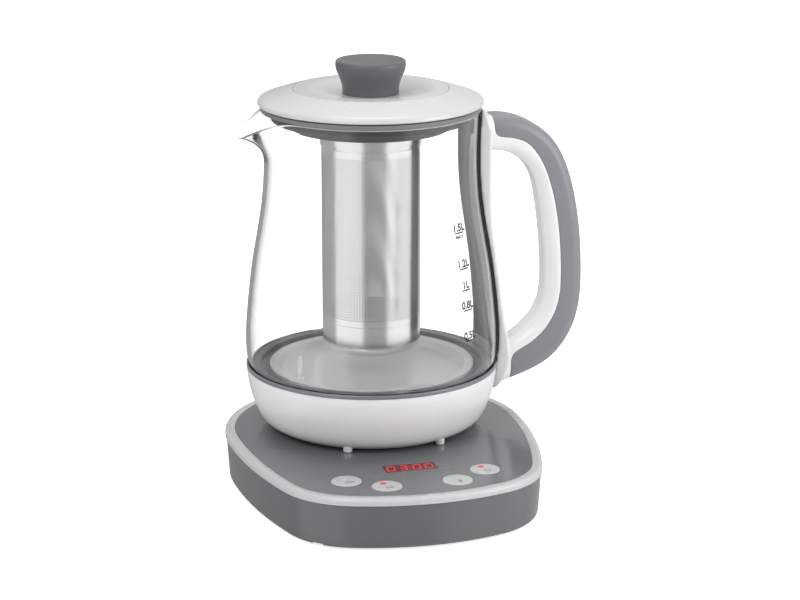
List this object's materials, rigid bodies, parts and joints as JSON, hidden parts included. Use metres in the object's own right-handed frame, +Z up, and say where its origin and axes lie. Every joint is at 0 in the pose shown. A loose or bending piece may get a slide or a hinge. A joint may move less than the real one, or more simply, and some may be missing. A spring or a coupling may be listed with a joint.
{
  "type": "automatic tea maker",
  "caption": "Glass tea kettle with a hanging steel infuser, lift-off lid and loop handle on a low control base with buttons and a small display.",
  "frame": {"origin": "on the jug's axis, on the surface that the base stands on", "axes": "+Z up along the jug's axis, +X towards the handle (spout to -X), -Y towards the controls"},
  "size_m": [0.2244, 0.2282, 0.258],
  "materials": {
    "base_grey": "satin mid grey",
    "panel_grey": "glossy mid grey",
    "collar_grey": "satin blue grey",
    "grip_grey": "satin soft grey",
    "liner_grey": "matte dark grey",
    "white_plastic": "glossy white",
    "display_dark": "glossy dark red window",
    "component_black": "matte black",
    "board_green": "lacquered circuit board",
    "contact_brass": "bright",
    "soft_rubber": "matte",
    "bright_steel": "brushed",
    "cast_aluminium": "raw",
    "clear_glass": "clear"
  },
  "bodies": {
    "base": {"base_shell": "base_grey", "base_rim": "white_plastic", "base_top_panel": "panel_grey", "display_window": "display_dark", "display_module": "component_black", "control_board": "board_green", "tact_switches": "component_black", "power_board": "board_green", "base_connector": "component_black", "base_contacts": "contact_brass", "cord_gland": "soft_rubber", "rubber_feet": "soft_rubber", "base_screws": "bright_steel"},
    "button_left_outer": {"button_left_outer": "white_plastic"},
    "button_left_inner": {"button_left_inner": "white_plastic"},
    "button_right_inner": {"button_right_inner": "white_plastic"},
    "button_right_outer": {"button_right_outer": "white_plastic"},
    "jug": {"glass_jug": "clear_glass", "collar_ring": "collar_grey", "glass_seal": "soft_rubber", "heating_plate": "bright_steel", "heat_spreader": "cast_aluminium", "heating_element": "cast_aluminium", "thermostat": "component_black", "temperature_probe": "bright_steel", "jug_housing": "white_plastic", "jug_bottom_cover": "white_plastic", "jug_connector": "component_black", "jug_contacts": "contact_brass", "spine_liner": "liner_grey", "handle_shell": "white_plastic", "handle_grip": "grip_grey", "handle_screw": "bright_steel"},
    "lid": {"lid_cover": "white_plastic", "lid_plug": "grip_grey", "lid_seal": "soft_rubber", "lid_knob": "grip_grey", "knob_screw": "bright_steel"},
    "infuser": {"infuser_collar": "bright_steel", "infuser_tube": "bright_steel", "infuser_base": "bright_steel"}
  },
  "joints": [
    {"name": "jug_lift", "type": "slide", "parent": "base", "child": "jug", "axis": [0, 0, 1], "range_m": [0, 0.1]},
    {"name": "lid_lift", "type": "slide", "parent": "jug", "child": "lid", "axis": [0, 0, 1], "range_m": [0, 0.16]},
    {"name": "infuser_twist", "type": "hinge", "parent": "lid", "child": "infuser", "pos_m": [0, 0, 0.217], "axis": [0, 0, 1], "range_deg": [0, 36]},
    {"name": "left_outer_press", "type": "slide", "parent": "base", "child": "button_left_outer", "axis": [0, 0, -1], "range_m": [0, 0.0006], "stiffness_N_per_m": 1500, "springref_m": -0.0002},
    {"name": "left_inner_press", "type": "slide", "parent": "base", "child": "button_left_inner", "axis": [0, 0, -1], "range_m": [0, 0.0006], "stiffness_N_per_m": 1500, "springref_m": -0.0002},
    {"name": "right_inner_press", "type": "slide", "parent": "base", "child": "button_right_inner", "axis": [0, 0, -1], "range_m": [0, 0.0006], "stiffness_N_per_m": 1500, "springref_m": -0.0002},
    {"name": "right_outer_press", "type": "slide", "parent": "base", "child": "button_right_outer", "axis": [0, 0, -1], "range_m": [0, 0.0006], "stiffness_N_per_m": 1500, "springref_m": -0.0002}
  ]
}
